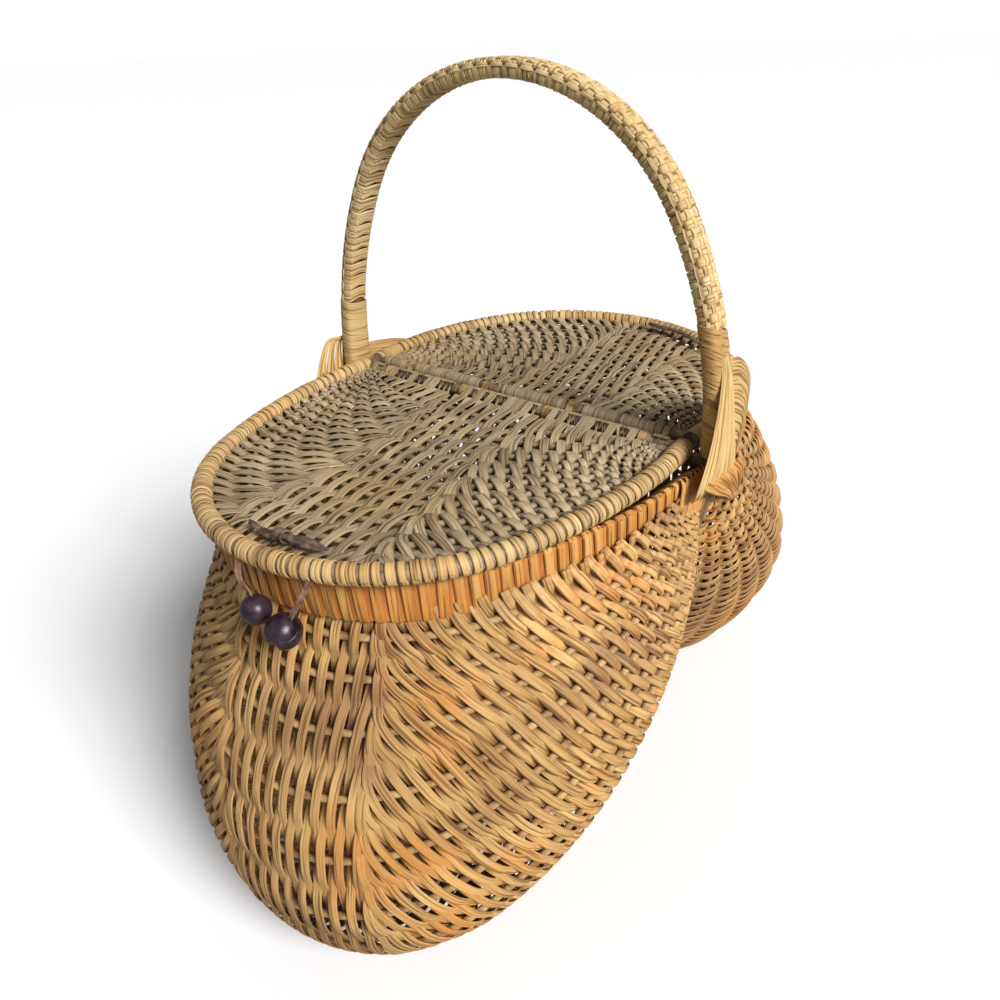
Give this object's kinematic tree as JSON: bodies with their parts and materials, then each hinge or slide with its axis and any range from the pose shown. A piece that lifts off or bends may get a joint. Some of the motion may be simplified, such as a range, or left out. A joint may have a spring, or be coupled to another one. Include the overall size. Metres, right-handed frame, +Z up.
{
  "type": "picnic basket",
  "caption": "Two-lobed hooped cane basket with a plaited arch handle and two woven lids hinged on a centre bar.",
  "frame": {"origin": "on the ground, under the middle of the axis through the two ears, where the handle hoop crosses the rim", "axes": "+X towards the right ear, +Y towards the rear lobe, +Z up; the front lobe, whose lid carries the beads, is at -Y"},
  "size_m": [0.2416, 0.3872, 0.3654],
  "materials": {
    "body_cane": "aged flat cane, woven, golden brown",
    "lid_cane": "weathered grey-brown flat cane, woven",
    "pale_cane": "straw coloured flat cane, wrapped and plaited",
    "rim_splint": "honey orange flat splint",
    "rod_wood": "round cane and willow rod",
    "leather": "dry dark thong leather",
    "bead_wood": "dark purple-black carved bead"
  },
  "bodies": {
    "closure": {"bead_left": "bead_wood", "bead_right": "bead_wood", "lace_left": "leather", "lace_right": "leather"},
    "basket": {"centre_bar": "rod_wood", "ear_fan_left": "pale_cane", "ear_fan_right": "pale_cane", "ear_strap_left": "pale_cane", "ear_strap_right": "pale_cane", "foot_binding_left": "pale_cane", "foot_binding_right": "pale_cane", "handle_hoop": "rod_wood", "handle_plait": "pale_cane", "hinge_loops_front": "pale_cane", "hinge_loops_rear": "pale_cane", "rib_front_01": "rod_wood", "rib_front_02": "rod_wood", "rib_front_03": "rod_wood", "rib_front_04": "rod_wood", "rib_front_05": "rod_wood", "rib_front_06": "rod_wood", "rib_front_07": "rod_wood", "rib_front_08": "rod_wood", "rib_front_09": "rod_wood", "rib_front_10": "rod_wood", "rib_front_11": "rod_wood", "rib_front_12": "rod_wood", "rib_rear_01": "rod_wood", "rib_rear_02": "rod_wood", "rib_rear_03": "rod_wood", "rib_rear_04": "rod_wood", "rib_rear_05": "rod_wood", "rib_rear_06": "rod_wood", "rib_rear_07": "rod_wood", "rib_rear_08": "rod_wood", "rib_rear_09": "rod_wood", "rib_rear_10": "rod_wood", "rib_rear_11": "rod_wood", "rib_rear_12": "rod_wood", "rim_band_front": "rim_splint", "rim_band_rear": "rim_splint", "rim_rod": "rod_wood", "rim_wraps_front": "pale_cane", "rim_wraps_rear": "pale_cane", "weave_front": "body_cane", "weave_rear": "body_cane"},
    "front_lid": {"front_lid_bar": "rod_wood", "front_lid_lashings": "pale_cane", "front_lid_ribs": "rod_wood", "front_lid_rim": "rod_wood", "front_lid_thong": "leather", "front_lid_weave": "lid_cane", "front_lid_wraps": "pale_cane"},
    "rear_lid": {"rear_lid_bar": "rod_wood", "rear_lid_lashings": "pale_cane", "rear_lid_ribs": "rod_wood", "rear_lid_rim": "rod_wood", "rear_lid_thong": "leather", "rear_lid_weave": "lid_cane", "rear_lid_wraps": "pale_cane"}
  },
  "joints": [
    {"name": "front_lid_hinge", "type": "hinge", "parent": "basket", "child": "front_lid", "pos_m": [0, -0.0052, 0.2182], "axis": [-1, 0, 0], "range_deg": [0, 84]},
    {"name": "rear_lid_hinge", "type": "hinge", "parent": "basket", "child": "rear_lid", "pos_m": [0, 0.0052, 0.2182], "axis": [1, 0, 0], "range_deg": [0, 82]},
    {"name": "closure_swing", "type": "hinge", "parent": "front_lid", "child": "closure", "pos_m": [0.0135, -0.16565, 0.2149], "axis": [-1, 0, 0], "range_deg": [0, 60]}
  ]
}
